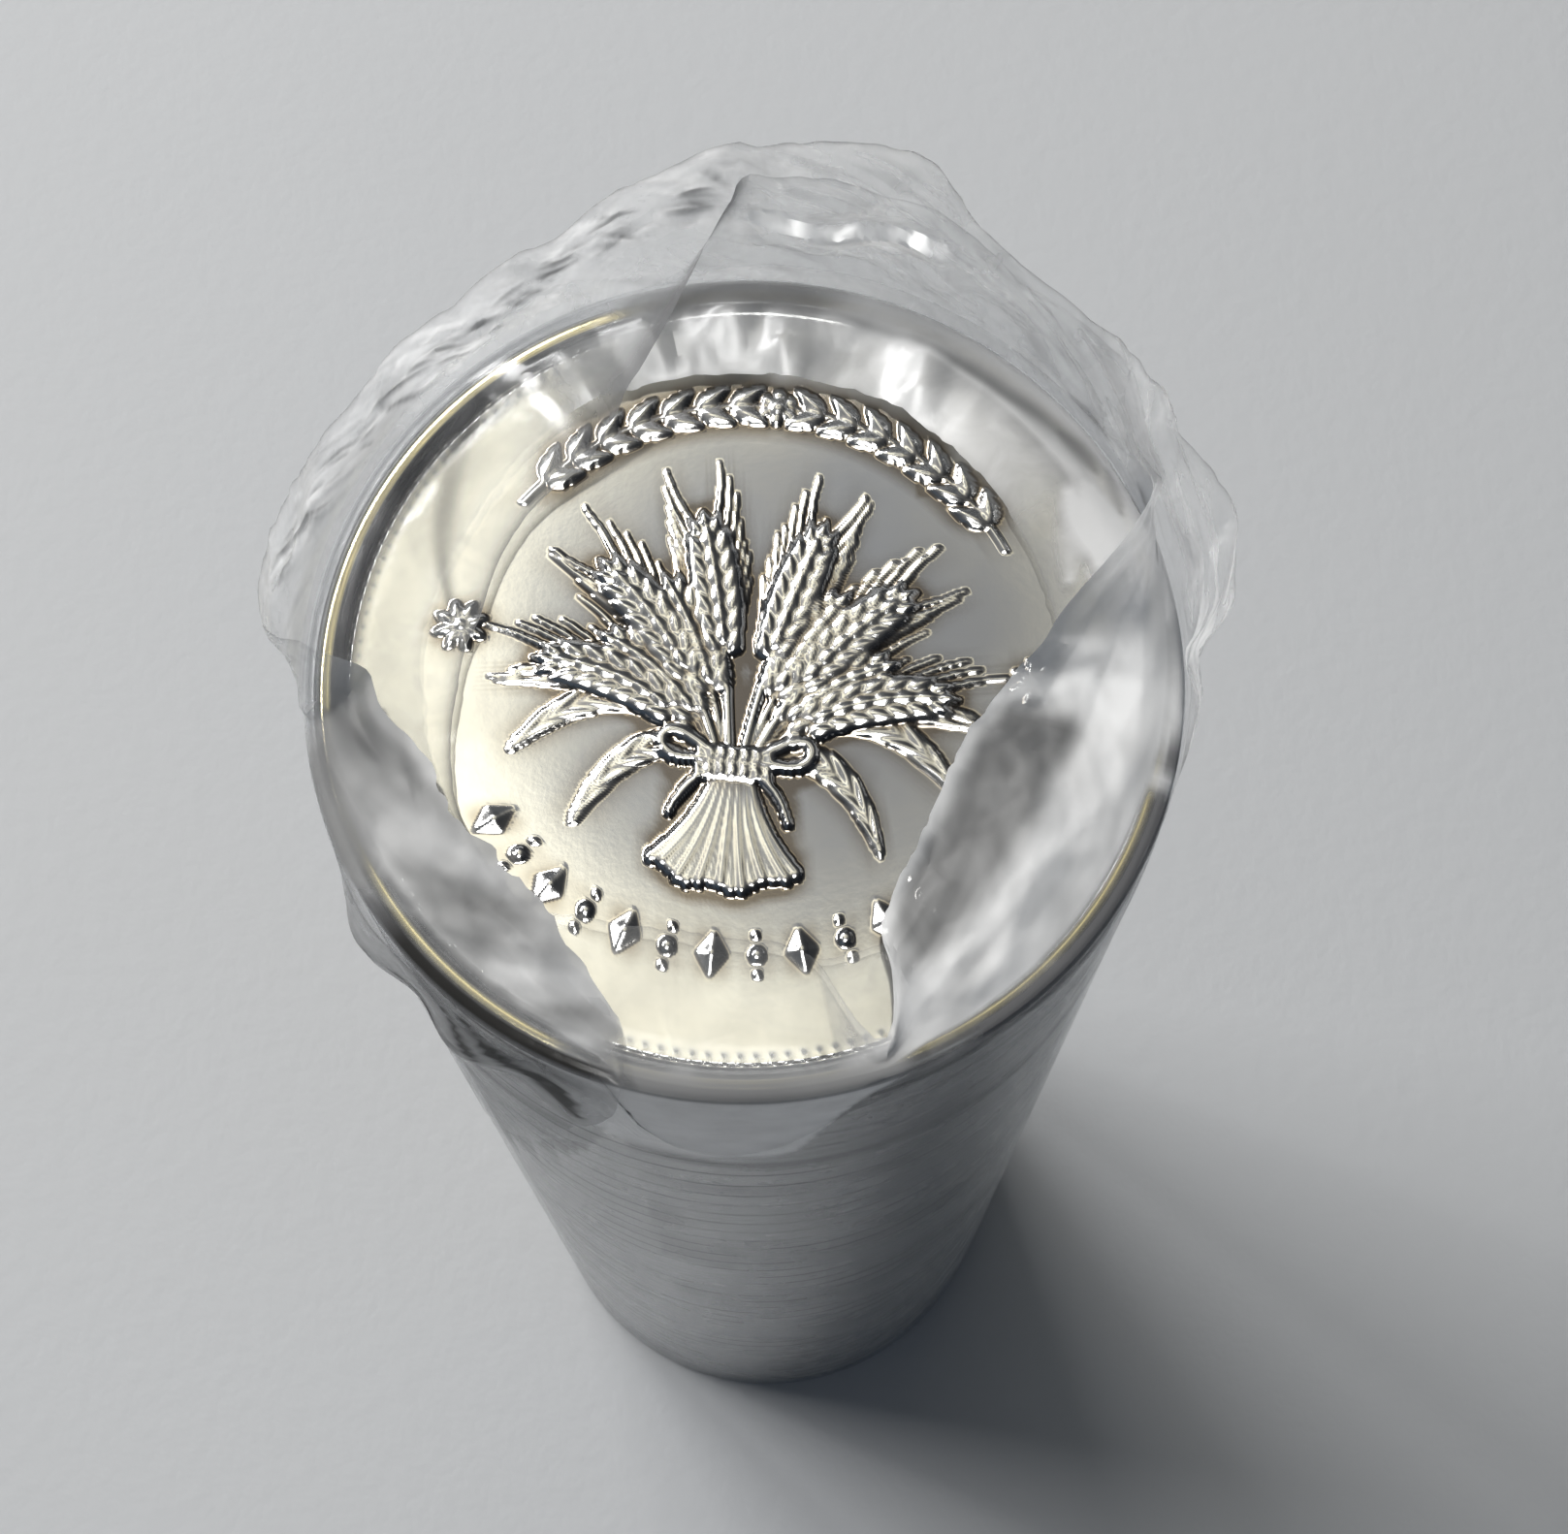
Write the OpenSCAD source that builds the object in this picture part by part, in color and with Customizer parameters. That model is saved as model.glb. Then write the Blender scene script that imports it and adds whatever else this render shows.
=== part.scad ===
// Roll of coins in a clear film wrap, standing on its lower end.
// Origin: centre of the lower end, on the surface it stands on. +Z is up along
// the roll's axis, and -Y faces the side where the film is folded in tight.

/* [Coins] */
// Number of coins in the stack
coin_count = 40; // [10:1:50]
// Diameter of one coin
coin_d = 21.2; // [18:0.05:30]
// Thickness of one coin, measured at its rim
coin_t = 1.76; // [1.3:0.01:3]
// Width of the raised rim, from the edge inwards
rim_w = 0.9; // [0.5:0.05:1.5]
// Depth of each sunk face below the rim
field_depth = 0.2; // [0.05:0.01:0.3]
// Bevel on the outer corners of the rim
edge_bevel = 0.12; // [0.05:0.01:0.25]
// Play between one coin and the next
coin_play = 0.01; // [0.005:0.005:0.05]

/* [Film] */
// Thickness of the turns of film round the stack
sleeve_t = 0.1; // [0.05:0.01:0.4]
// Thickness of the folded layers at each end
fold_t = 0.15; // [0.08:0.01:0.5]
// Room between the edges of the coins and the film
sleeve_play = 0.05; // [0.02:0.01:0.1]
// Room between the end coins and the folded film
fold_play = 0.05; // [0.02:0.01:0.2]
// Radius of the gap in the folded film under the lowest coin
bottom_gap_r = 6; // [4:0.5:8]

/* [Loose collar] */
// Thickness of the loose end, which is fewer turns than the sleeve
collar_t = 0.05; // [0.03:0.01:0.2]
// How far the loose end stands in from the outside of the sleeve
collar_inset = 0.2; // [0:0.05:0.5]
// Height that the loose end of the film stands above the top fold
collar_h = 5.5; // [2:0.5:9]
// Where the collar starts, in degrees from +X
collar_from = -5; // [-20:1:20]
// How far the collar runs round the back
collar_sweep = 188; // [120:1:220]

/* [Hidden] */
$fn = 96;
coin_r = coin_d / 2;
film_in_r = coin_r + sleeve_play;
film_out_r = film_in_r + sleeve_t;
pitch = coin_t + coin_play;
stack_z = fold_t + fold_play;                               // underside of the lowest coin
stack_top = stack_z + coin_count * coin_t + (coin_count - 1) * coin_play;
top_fold_z = stack_top + fold_play;
collar_z = top_fold_z + fold_t;

// Edge of the gap in the top fold, on a coin of radius 10.6, going round from
// the right: a wide flap on the right, narrower ones on the left and in front.
gap_outline = [
    [7.5, 1], [6.5, 4.5], [4.5, 6.5], [2, 7.5], [-2.5, 7.5], [-4, 5.5],
    [-6, 3], [-7, 0], [-7, -3], [-5, -6], [-2, -6.5], [2, -7], [4, -4], [5.5, -1.5]
];

function coin_name(i) = str("coin_", i < 10 ? "0" : "", i);

// Half of a coin's section, from its axis to its edge, on z = 0
module coin_section() {
    polygon([
        [0, field_depth],
        [coin_r - rim_w - field_depth, field_depth],
        [coin_r - rim_w, 0],
        [coin_r - edge_bevel, 0],
        [coin_r, edge_bevel],
        [coin_r, coin_t - edge_bevel],
        [coin_r - edge_bevel, coin_t],
        [coin_r - rim_w, coin_t],
        [coin_r - rim_w - field_depth, coin_t - field_depth],
        [0, coin_t - field_depth]
    ]);
}

// One coin of the stack, counted from the bottom
module coin(i) {
    color("silver")
        translate([0, 0, stack_z + (i - 1) * pitch])
            rotate_extrude() coin_section();
}

// The turns of film round the whole stack
module wrap_sleeve() {
    color([0.85, 0.87, 0.9, 0.4])
        translate([0, 0, fold_t])
            difference() {
                cylinder(r = film_out_r, h = top_fold_z - fold_t);
                translate([0, 0, -1]) cylinder(r = film_in_r, h = top_fold_z + 2);
            }
}

// The crimped lower end that the roll stands on
module bottom_fold() {
    color([0.85, 0.87, 0.9, 0.5])
        difference() {
            cylinder(r = film_out_r, h = fold_t);
            translate([0, 0, -1]) cylinder(r = bottom_gap_r, h = fold_t + 2);
        }
}

// The upper end folded in over the rim of the top coin
module top_fold() {
    color([0.85, 0.87, 0.9, 0.5])
        translate([0, 0, top_fold_z])
            difference() {
                cylinder(r = film_out_r, h = fold_t);
                translate([0, 0, -1])
                    linear_extrude(fold_t + 2)
                        scale(coin_r / 10.6) polygon(gap_outline);
            }
}

// The loose cut end that stands up round the back and the sides
module top_collar() {
    color([0.85, 0.87, 0.9, 0.4])
        translate([0, 0, collar_z])
            rotate([0, 0, collar_from])
                rotate_extrude(angle = collar_sweep)
                    translate([film_out_r - collar_inset - collar_t, 0]) square([collar_t, collar_h]);
}

for (i = [1 : coin_count])
    coin(i);
wrap_sleeve();
bottom_fold();
top_fold();
top_collar();
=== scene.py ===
import math

import bpy
import numpy as np
from mathutils import Matrix, Vector


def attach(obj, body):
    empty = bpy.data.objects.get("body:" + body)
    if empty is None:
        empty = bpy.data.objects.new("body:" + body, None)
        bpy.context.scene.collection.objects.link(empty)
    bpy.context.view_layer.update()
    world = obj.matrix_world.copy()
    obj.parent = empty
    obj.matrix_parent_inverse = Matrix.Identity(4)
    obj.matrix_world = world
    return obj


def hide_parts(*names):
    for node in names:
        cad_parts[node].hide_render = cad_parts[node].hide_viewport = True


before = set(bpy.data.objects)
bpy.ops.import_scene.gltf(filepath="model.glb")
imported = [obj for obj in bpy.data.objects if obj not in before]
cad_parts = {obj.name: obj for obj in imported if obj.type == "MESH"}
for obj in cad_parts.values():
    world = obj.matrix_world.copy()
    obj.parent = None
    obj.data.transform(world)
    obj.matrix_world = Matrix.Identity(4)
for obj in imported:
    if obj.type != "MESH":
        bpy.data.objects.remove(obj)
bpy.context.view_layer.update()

MM = 0.001
N_COINS = 40
RNG = np.random.default_rng(7)

scene = bpy.context.scene
scene.view_settings.view_transform = "Standard"
scene.view_settings.look = "None"
scene.cycles.transparent_max_bounces = 24
scene.cycles.max_bounces = 14
scene.cycles.caustics_reflective = False
scene.cycles.caustics_refractive = False

# ---------------------------------------------------------------- small helpers


def smooth(a, b, x):
    t = np.clip((x - a) / (b - a), 0, 1)
    return t * t * (3 - 2 * t)


def new_mesh(name, verts_mm, faces, uv=None, attrs=None, shade=True):
    me = bpy.data.meshes.new(name)
    me.from_pydata((np.asarray(verts_mm, float) * MM).tolist(), [], faces)
    me.validate()
    if shade:
        me.polygons.foreach_set("use_smooth", np.ones(len(me.polygons), bool))
    for key, val in (attrs or {}).items():
        a = me.attributes.new(key, "FLOAT", "POINT")
        a.data.foreach_set("value", np.asarray(val, np.float32))
    if uv is not None:
        layer = me.uv_layers.new(name="UVMap")
        idx = np.zeros(len(me.loops), np.int32)
        me.loops.foreach_get("vertex_index", idx)
        layer.data.foreach_set("uv", np.asarray(uv, np.float32)[idx].ravel())
    me.update()
    ob = bpy.data.objects.new(name, me)
    scene.collection.objects.link(ob)
    return ob


class Mat:
    """A node material, with short calls for the nodes that it needs."""

    def __init__(self, name):
        self.m = bpy.data.materials.new(name)
        self.m.use_nodes = True
        self.t = self.m.node_tree
        self.t.nodes.clear()
        self.out = self.t.nodes.new("ShaderNodeOutputMaterial")

    def n(self, kind, _in=None, **props):
        node = self.t.nodes.new(kind)
        for k, v in props.items():
            setattr(node, k, v)
        for k, v in (_in or {}).items():
            s = node.inputs[k]
            if isinstance(v, bpy.types.NodeSocket):
                self.t.links.new(v, s)
            else:
                s.default_value = v
        return node

    def math(self, op, a, b=0.0, c=0.0, clamp=False):
        node = self.t.nodes.new("ShaderNodeMath")
        node.operation, node.use_clamp = op, clamp
        for i, v in enumerate((a, b, c)):
            if isinstance(v, bpy.types.NodeSocket):
                self.t.links.new(v, node.inputs[i])
            else:
                node.inputs[i].default_value = v
        return node.outputs[0]

    def ramp(self, fac, stops, interp="LINEAR"):
        node = self.t.nodes.new("ShaderNodeValToRGB")
        node.color_ramp.interpolation = interp
        e = node.color_ramp.elements
        while len(e) < len(stops):
            e.new(0.5)
        for el, (p, c) in zip(e, stops):
            el.position = p
            el.color = c if len(c) == 4 else (*c, 1)
        self.t.links.new(fac, node.inputs[0])
        return node.outputs["Color"]

    def span(self, v, a, b, c, d):
        node = self.t.nodes.new("ShaderNodeMapRange")
        self.t.links.new(v, node.inputs[0])
        for i, x in enumerate((a, b, c, d)):
            node.inputs[i + 1].default_value = x
        return node.outputs[0]

    def mix(self, fac, a, b):
        node = self.t.nodes.new("ShaderNodeMix")
        node.data_type = "RGBA"
        for i, v in ((0, fac), (6, a), (7, b)):
            if isinstance(v, bpy.types.NodeSocket):
                self.t.links.new(v, node.inputs[i])
            else:
                node.inputs[i].default_value = v if i == 0 or len(v) == 4 else (*v, 1)
        return node.outputs[2]

    def coords(self):
        return self.n("ShaderNodeTexCoord").outputs["Object"]

    def noise(self, vec, scale, detail=2.0, rough=0.5, stretch=None, distort=0.0):
        if stretch:
            vec = self.n("ShaderNodeMapping", {"Vector": vec, "Scale": stretch}).outputs[0]
        return self.n(
            "ShaderNodeTexNoise",
            {"Vector": vec, "Scale": scale, "Detail": detail, "Roughness": rough, "Distortion": distort},
        ).outputs["Fac"]

    def bump(self, height, strength, dist, normal=None):
        i = {"Height": height, "Strength": strength, "Distance": dist}
        if normal is not None:
            i["Normal"] = normal
        return self.n("ShaderNodeBump", i).outputs[0]

    def attr(self, name):
        return self.n("ShaderNodeAttribute", attribute_name=name).outputs["Fac"]

    def surface(self, shader):
        self.t.links.new(shader, self.out.inputs["Surface"])
        return self.m


# ---------------------------------------------------------------- camera

# The camera stands about 64 mm from the top coin, above it and a little in front.
Z_TOP = 70.99  # rim of the top coin
cam_data = bpy.data.cameras.new("camera")
cam_data.lens, cam_data.sensor_width, cam_data.sensor_fit = 60.01, 36.0, "AUTO"
cam_data.clip_start, cam_data.clip_end = 0.001, 10
cam = bpy.data.objects.new("camera", cam_data)
right = Vector((0.99885186, -0.04785375, -0.00223194))
up = Vector((0.04612423, 0.94807441, 0.31468631))
ahead = Vector((0.01294288, 0.31442795, -0.94919310))
m = Matrix.Identity(4)
for i in range(3):
    m[i][0], m[i][1], m[i][2] = right[i], up[i], -ahead[i]
m.translation = Vector((0, -22.35320, 130.46556 + Z_TOP - 70.6)) * MM
cam.matrix_world = m
scene.collection.objects.link(cam)
scene.camera = cam

# ---------------------------------------------------------------- floor and light

bpy.ops.mesh.primitive_plane_add(size=2.4, location=(0, 0, 0))
floor = bpy.context.object
floor.name = "floor"
fm = Mat("floor_pale")
co = fm.coords()
tone = fm.span(fm.noise(co, 9.0, 3.0, 0.6), 0.3, 0.7, 0.0, 1.0)
fine = fm.noise(co, 900.0, 2.0, 0.6)
fm.surface(
    fm.n(
        "ShaderNodeBsdfPrincipled",
        {
            "Base Color": fm.mix(tone, (0.585, 0.595, 0.61), (0.605, 0.615, 0.63)),
            "Roughness": 0.75,
            "Normal": fm.bump(fine, 0.12, 0.0004),
            "Emission Color": (0.97, 0.985, 1.0, 1),
            "Emission Strength": fm.span(fm.n("ShaderNodeVectorMath", {0: co}, operation="LENGTH").outputs["Value"], 0.10, 0.80, 0.0, 0.42),
        },
    ).outputs[0]
)
floor.data.materials.append(fm.m)


def area(name, at, to, size, power, color=(1, 1, 1), size_y=None, only_gloss=False, no_gloss=False):
    d = bpy.data.lights.new(name, "AREA")
    d.energy, d.color, d.size = power, color, size
    if size_y:
        d.shape, d.size_y = "RECTANGLE", size_y
    o = bpy.data.objects.new(name, d)
    o.location = at
    o.rotation_mode = "QUATERNION"
    o.rotation_quaternion = (Vector(to) - Vector(at)).to_track_quat("-Z", "Y")
    scene.collection.objects.link(o)
    if only_gloss:
        o.visible_diffuse = False
        o.visible_transmission = False
    if no_gloss:
        o.visible_glossy = False
    return o


# four lamps in a row, up behind on the left
for i, (az, power) in enumerate(((160.4, 0.98), (147.0, 1.50), (127.0, 1.42), (111.0, 0.62))):
    t = math.radians(az)
    area(f"lamp_{i}", (0.45 * math.cos(t), 0.45 * math.sin(t), 0.56), (0, 0, 0.02), 0.13, power, (1.0, 0.995, 0.98))
area("fill", (-0.5, -0.5, 0.6), (0, 0, 0.03), 0.6, 0.040, (0.55, 0.78, 1.0))
area("fill_right", (0.52, -0.28, 0.27), (0, 0, 0.03), 0.5, 0.21, (0.40, 0.65, 1.0), no_gloss=True)
area("ceiling_lamp", (-0.05, -0.14, 0.60), (0, 0, 0.07), 0.20, 1.3, (1.0, 1.0, 0.98), only_gloss=True)

# The room: dark near the horizon, and overhead a grey ceiling patch with a warm
# border round it, which the flat metal faces mirror.
world = bpy.data.worlds.new("room")
scene.world = world
world.use_nodes = True
wt = world.node_tree
wt.nodes.clear()


def wnode(kind, ins=None, **props):
    node = wt.nodes.new(kind)
    for k, v in props.items():
        setattr(node, k, v)
    for k, v in (ins or {}).items():
        if isinstance(v, bpy.types.NodeSocket):
            wt.links.new(v, node.inputs[k])
        else:
            node.inputs[k].default_value = v
    return node


w_co = wnode("ShaderNodeTexCoord").outputs["Generated"]
tilt = math.radians(20.6)
w_dot = wnode("ShaderNodeVectorMath", {0: w_co, 1: (0.02, math.sin(tilt), math.cos(tilt))}, operation="DOT_PRODUCT").outputs["Value"]
w_ang = wnode("ShaderNodeMath", {0: w_dot}, operation="ARCCOSINE").outputs[0]
w_fac = wnode("ShaderNodeMath", {0: w_ang, 1: math.radians(90)}, operation="DIVIDE").outputs[0]
w_ramp = wnode("ShaderNodeValToRGB", {0: w_fac})
els = w_ramp.color_ramp.elements
stops = [
    (0.0, (0.275, 0.285, 0.30)), (6.0, (0.275, 0.285, 0.30)), (6.6, (1.20, 1.165, 0.98)), (10.2, (1.14, 1.07, 0.83)),
    (13.5, (0.30, 0.295, 0.285)), (26.0, (0.085, 0.088, 0.092)), (50.0, (0.026, 0.029, 0.035)), (90.0, (0.012, 0.017, 0.026)),
]
while len(els) < len(stops):
    els.new(0.5)
for el, (deg, c) in zip(els, stops):
    el.position, el.color = deg / 90, (*c, 1)
# brighter towards the lamps on the left
w_left = wnode("ShaderNodeVectorMath", {0: w_co, 1: (-1.0, 0.12, 0.0)}, operation="DOT_PRODUCT").outputs["Value"]
w_lift = wnode("ShaderNodeMapRange", {0: w_left, 1: -0.14, 2: 0.20, 3: 0.64, 4: 1.75}).outputs[0]
w_bg = wnode("ShaderNodeBackground", {"Color": w_ramp.outputs["Color"], "Strength": w_lift})
# a pale backdrop all round, seen past the object and in the shine of its sides
w_up = wnode("ShaderNodeSeparateXYZ", {0: w_co}).outputs["Z"]
w_path = wnode("ShaderNodeLightPath").outputs
w_sum = 0.0
for ray, low_z, high_z, level in (("Is Camera Ray", 0.05, 0.75, 0.46), ("Is Glossy Ray", 0.05, 0.30, 0.45)):
    w_part = wnode("ShaderNodeMapRange", {0: w_up, 1: low_z, 2: high_z, 3: level, 4: 0.0}).outputs[0]
    w_sum = wnode("ShaderNodeMath", {0: w_part, 1: w_path[ray], 2: w_sum}, operation="MULTIPLY_ADD").outputs[0]
w_drop = wnode("ShaderNodeBackground", {"Color": (0.97, 0.985, 1.0, 1), "Strength": w_sum})
w_all = wnode("ShaderNodeAddShader", {0: w_bg.outputs[0], 1: w_drop.outputs[0]})
wt.links.new(w_all.outputs[0], wnode("ShaderNodeOutputWorld").inputs["Surface"])

# ---------------------------------------------------------------- the struck face

# Lengths in millimetres. A face is a sunk field inside a raised rim, with a tied
# sheaf in the middle, a leaf garland above it, lozenges below and a toothed border.
COIN_R, COIN_T, FIELD = 10.6, 1.76, 0.20


class Face:
    """Heights above the field at a set of points, built up from overlapping shapes."""

    def __init__(self, x, y):
        self.x, self.y = x, y
        self.h = np.zeros_like(x)
        self.kind = np.zeros_like(x)

    def put(self, i, h, kind=1.0):
        up_ = h > self.h[i]
        j = i[up_]
        self.h[j] = h[up_]
        self.kind[j] = kind

    def near(self, cx, cy, r):
        return np.flatnonzero((np.abs(self.x - cx) < r) & (np.abs(self.y - cy) < r))

    def kernel(self, cx, cy, ang, a, b, base, h, keel=0.0, point=0.45, power=0.5):
        """An almond-shaped bump, pointed at its far end, with a faint keel along it."""
        i = self.near(cx, cy, max(a, b) * 1.05)
        if not len(i):
            return
        c, s = math.cos(ang), math.sin(ang)
        dx, dy = self.x[i] - cx, self.y[i] - cy
        u, v = (dx * c + dy * s) / a, (-dx * s + dy * c) / b
        w = 1 - point * np.clip(u, -0.4, 1)
        d = u * u + (v / w) ** 2
        k = d < 1
        g = base + h * (1 - d[k]) ** power + keel * np.exp(-((v[k] / 0.22) ** 2)) * (1 - d[k])
        self.put(i[k], g)

    def dome(self, cx, cy, r, base, h):
        i = self.near(cx, cy, r)
        d = ((self.x[i] - cx) ** 2 + (self.y[i] - cy) ** 2) / r**2
        k = d < 1
        self.put(i[k], base + h * np.sqrt(1 - d[k]))

    def lozenge(self, cx, cy, ang, a, b, h):
        i = self.near(cx, cy, max(a, b))
        c, s = math.cos(ang), math.sin(ang)
        dx, dy = self.x[i] - cx, self.y[i] - cy
        d = np.abs(dx * c + dy * s) / a + np.abs(-dx * s + dy * c) / b
        k = d < 1
        self.put(i[k], h * np.minimum(1, 1.35 * (1 - d[k])))

    def stroke(self, pts, w0, w1, base, h0, h1, form="round", kind=1.0):
        """A ridge along a line of points, from width w0 and height h0 to w1 and h1."""
        p = np.asarray(pts, float)
        n = len(p) - 1
        reach = max(np.max(np.atleast_1d(w0)), np.max(np.atleast_1d(w1))) * 1.1
        lo, hi = p.min(0) - reach, p.max(0) + reach
        i = np.flatnonzero((self.x > lo[0]) & (self.x < hi[0]) & (self.y > lo[1]) & (self.y < hi[1]))
        if not len(i):
            return
        best, t_at, side = np.full(len(i), 9e9), np.zeros(len(i)), np.zeros(len(i))
        for k in range(n):
            a, d = p[k], p[k + 1] - p[k]
            q = np.clip(((self.x[i] - a[0]) * d[0] + (self.y[i] - a[1]) * d[1]) / (d @ d), 0, 1)
            ex, ey = self.x[i] - a[0] - q * d[0], self.y[i] - a[1] - q * d[1]
            dist = np.hypot(ex, ey)
            f = dist < best
            best[f], t_at[f] = dist[f], (k + q[f]) / n
            side[f] = np.sign(d[0] * ey[f] - d[1] * ex[f])
        w = w0 + (w1 - w0) * t_at
        if form == "blade":  # a leaf blade: widest in the middle, with a sunk midrib
            w = (w0 + (w1 - w0) * t_at) * np.sqrt(np.clip(np.sin(np.pi * np.clip(t_at * 0.94 + 0.06, 0, 1)), 0, 1)) + 0.02
        d = best / np.maximum(w, 1e-6)
        k = d < 1
        h = h0 + (h1 - h0) * t_at[k]
        if form == "blade":
            g = base + h * np.sqrt(1 - d[k] ** 2) * (0.55 + 0.75 * d[k]) + 0.012 * np.sin(40 * t_at[k] + 7 * d[k])
        else:
            g = base + h * np.sqrt(1 - d[k] ** 2)
        self.put(i[k], g, kind)


def bezier(p0, p1, p2, n):
    t = np.linspace(0, 1, n)[:, None]
    return (1 - t) ** 2 * np.array(p0) + 2 * t * (1 - t) * np.array(p1) + t * t * np.array(p2)


def struck(x, y):
    """Height of the design above the field, and a mask of where it is."""
    f = Face(x, y)
    rng = np.random.default_rng(11)
    tie = np.array([0.0, -2.35])
    # the cut straws below the tie
    for k, b in enumerate(np.linspace(-34, 34, 15)):
        b = math.radians(b)
        end = tie + 3.05 * np.array([math.sin(b), -math.cos(b)]) * (1 + 0.03 * math.sin(5 * k))
        mid = tie + 1.5 * np.array([math.sin(0.62 * b), -math.cos(0.62 * b)])
        path = bezier(tie + [0.055 * (k - 7), 0.1], mid, end, 12)
        f.stroke(path, 0.13, 0.19, 0.030 + 0.012 * math.cos(b * 2.2) + 0.008 * (k % 2), 0.05, 0.06)
        f.dome(*(end), 0.13, 0.055, 0.03)
    # blades that hang out of the bundle
    for s in (-1, 1):
        f.stroke(bezier(tie + [0.4 * s, 0.3], (3.0 * s, 0.55), (5.5 * s, -2.6), 26), 0.46, 0.36, 0.012, 0.05, 0.04, "blade")
        f.stroke(bezier(tie + [0.3 * s, 0.1], (2.5 * s, -1.15), (3.75 * s, -4.3), 24), 0.40, 0.30, 0.010, 0.05, 0.04, "blade")
        f.stroke(bezier(tie + [0.5 * s, 0.6], (2.9 * s, -0.1), (5.75 * s, -0.55), 24), 0.34, 0.26, 0.008, 0.045, 0.035, "blade")
    # the ears, those behind first
    ears = [(a, l, 0.000) for a, l in ((-49, 4.9), (-26, 5.3), (26, 5.3), (49, 4.9))]
    ears += [(a, l, 0.022) for a, l in ((-64, 5.9), (-38, 6.5), (-13.5, 6.8), (13.5, 6.8), (38, 6.5), (64, 5.9))]
    for deg, length, lift in ears:
        a = math.radians(deg)
        tip = tie + length * np.array([math.sin(a), math.cos(a)]) - [0, 0.35 * (abs(deg) / 60) ** 2]
        mid = tie + 0.52 * length * np.array([math.sin(0.66 * a), math.cos(0.66 * a)])
        path = bezier(tie + [0.010 * deg, 0], mid, tip, 60)
        seg = np.linalg.norm(np.diff(path, axis=0), axis=1)
        along = np.concatenate([[0], np.cumsum(seg)])
        f.stroke(path[:44:3], 0.13, 0.11, 0.020 + lift, 0.055, 0.05)
        ear = 3.6 if lift else 3.0
        levels = 7
        for k in range(levels):
            d = along[-1] - ear + k * ear / levels
            p = np.array([np.interp(d, along, path[:, j]) for j in (0, 1)])
            q = np.array([np.interp(d + 0.05, along, path[:, j]) for j in (0, 1)])
            th = math.atan2(q[1] - p[1], q[0] - p[0])
            size = 0.82 + 0.3 * math.sin(math.pi * (k + 0.6) / levels)
            if k == levels - 1:
                size *= 0.85
            nx, ny = -math.sin(th), math.cos(th)
            for s in (-1, 1):
                tilt = th + s * 0.40
                cx, cy = p[0] + nx * s * 0.33 * size, p[1] + ny * s * 0.33 * size
                tipx, tipy = cx + math.cos(tilt) * 0.40 * size, cy + math.sin(tilt) * 0.40 * size
                awn = (1.15 + 0.35 * rng.random()) * (1.0 if lift else 0.8)
                bend = th + s * (0.30 - 0.012 * k)
                f.stroke(
                    [(tipx, tipy), (tipx + 0.5 * awn * math.cos(tilt - s * 0.1), tipy + 0.5 * awn * math.sin(tilt - s * 0.1)),
                     (tipx + awn * math.cos(bend), tipy + awn * math.sin(bend))],
                    0.075, 0.045, 0.004 + lift * 0.5, 0.042, 0.020,
                )
                f.kernel(cx, cy, tilt, 0.47 * size, 0.25 * size, 0.012 + lift, 0.095, 0.016)
            c2 = p + 0.2 * np.array([math.cos(th), math.sin(th)])
            f.kernel(c2[0], c2[1], th, 0.40 * size, 0.22 * size, 0.035 + lift, 0.085, 0.016)
    # the tie: two twisted turns of straw, with a bow
    for s in (-1, 1):
        q = np.linspace(0, 2 * np.pi, 25)
        loop = np.stack([s * (1.12 - 0.72 * np.cos(q)), -2.22 + 0.36 * np.sin(q) * (1.15 - np.cos(q)) / 1.6 + 0.16 * (1 - np.cos(q))], 1)
        f.stroke(loop, 0.15, 0.15, 0.075, 0.055, 0.055)
        f.stroke(bezier((0.3 * s, -2.45), (1.1 * s, -2.75), (1.45 * s, -3.75), 14), 0.15, 0.10, 0.085, 0.05, 0.03)
    i = f.near(0, -2.35, 1.0)
    u, v = f.x[i] / 0.98, (f.y[i] + 2.35 + 0.10 * (f.x[i] / 0.98) ** 2) / 0.42
    k = (np.abs(u) < 1) & (np.abs(v) < 1)
    rope = 0.5 + 0.5 * np.cos(2 * np.pi * (3.4 * u[k] + 0.55 * np.abs((v[k] + 1) % 1.0 - 0.5)))
    g = 0.075 + 0.045 * np.sqrt(1 - u[k] ** 2) + 0.035 * rope * np.sqrt(np.abs(np.sin(np.pi * (v[k] + 1))))
    f.put(i[k], g)
    # leaf garland above
    mid_r = 7.22
    arc = np.radians(np.linspace(33, 147, 60))
    f.stroke(np.stack([mid_r * np.cos(arc), mid_r * np.sin(arc)], 1), 0.075, 0.075, 0.0, 0.045, 0.045)
    for s in (-1, 1):
        for k, d in enumerate(np.arange(50.5, 5.5, -6.9)):
            t = math.radians(90 + s * d)
            run = t - s * math.pi / 2  # along the arc, towards the middle
            for o in (-1, 1):
                ang = run + o * s * 0.50
                cx = mid_r * math.cos(t) + 0.47 * math.cos(ang) + 0.05 * math.cos(t) * o
                cy = mid_r * math.sin(t) + 0.47 * math.sin(ang) + 0.05 * math.sin(t) * o
                f.kernel(cx, cy, ang, 0.52, 0.235, 0.015, 0.062, 0.022, 0.5)
            tb = math.radians(90 + s * (d - 3.1))
            for o in (-0.36, 0.36):
                f.dome((mid_r + o) * math.cos(tb), (mid_r + o) * math.sin(tb), 0.105, 0.0, 0.06)
    f.dome(0, mid_r, 0.24, 0.03, 0.075)
    for k in range(6):
        t = math.radians(60 * k + 30)
        f.dome(0.34 * math.cos(t), mid_r + 0.34 * math.sin(t), 0.17, 0.01, 0.06)
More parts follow.
